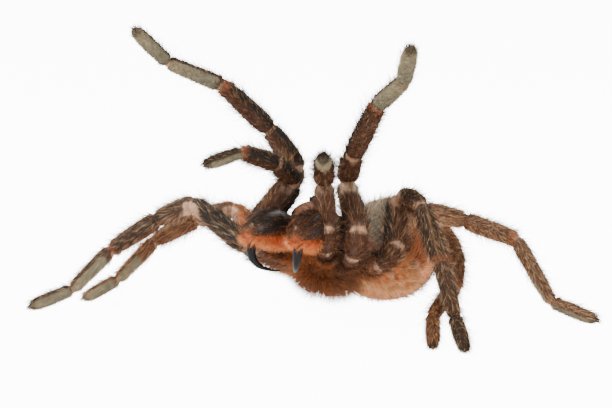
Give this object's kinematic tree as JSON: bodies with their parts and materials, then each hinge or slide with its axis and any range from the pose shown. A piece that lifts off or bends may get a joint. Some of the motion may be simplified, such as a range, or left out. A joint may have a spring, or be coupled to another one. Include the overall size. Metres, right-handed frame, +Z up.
{
  "type": "tarantula model",
  "caption": "Still life-size museum model of a large brown and orange tarantula reared in its threat pose, front legs and palps raised, fangs open, resting on hind feet and abdomen.",
  "frame": {"origin": "middle of the bounding box's base, on the floor", "axes": "+Z up, the spider faces -Y, +X is the spider's own left"},
  "size_m": [0.121, 0.107, 0.0685],
  "materials": {
    "leg": "dark brown cuticle under hair",
    "head": "black-brown cuticle with orange hair",
    "under": "rusty hair over brown cuticle",
    "sole": "olive-grey sole pads",
    "abdomen": "olive and orange hair",
    "fang": "polished black",
    "eye": "polished black"
  },
  "bodies": {
    "root": {"abdomen": "abdomen", "carapace": "head", "chelicera_left": "head", "chelicera_right": "head", "eyes": "eye", "fang_left": "fang", "fang_right": "fang", "leg_1_left_femur": "leg", "leg_1_left_foot": "sole", "leg_1_left_hip": "under", "leg_1_left_patella": "leg", "leg_1_left_tibia": "leg", "leg_1_right_femur": "leg", "leg_1_right_foot": "sole", "leg_1_right_hip": "under", "leg_1_right_patella": "leg", "leg_1_right_tibia": "leg", "leg_2_left_femur": "leg", "leg_2_left_foot": "sole", "leg_2_left_hip": "under", "leg_2_left_patella": "leg", "leg_2_left_tibia": "leg", "leg_2_right_femur": "leg", "leg_2_right_foot": "sole", "leg_2_right_hip": "under", "leg_2_right_patella": "leg", "leg_2_right_tibia": "leg", "leg_3_left_femur": "leg", "leg_3_left_foot": "sole", "leg_3_left_hip": "under", "leg_3_left_patella": "leg", "leg_3_left_tibia": "leg", "leg_3_right_femur": "leg", "leg_3_right_foot": "sole", "leg_3_right_hip": "under", "leg_3_right_patella": "leg", "leg_3_right_tibia": "leg", "leg_4_left_femur": "leg", "leg_4_left_foot": "sole", "leg_4_left_hip": "under", "leg_4_left_patella": "leg", "leg_4_left_tibia": "leg", "leg_4_right_femur": "leg", "leg_4_right_foot": "sole", "leg_4_right_hip": "under", "leg_4_right_patella": "leg", "leg_4_right_tibia": "leg", "palp_left_femur": "leg", "palp_left_hip": "under", "palp_left_patella": "leg", "palp_left_tarsus": "sole", "palp_left_tibia": "leg", "palp_right_femur": "leg", "palp_right_hip": "under", "palp_right_patella": "leg", "palp_right_tarsus": "sole", "palp_right_tibia": "leg", "spinneret_left": "under", "spinneret_right": "under", "sternum": "under"}
  },
  "joints": []
}
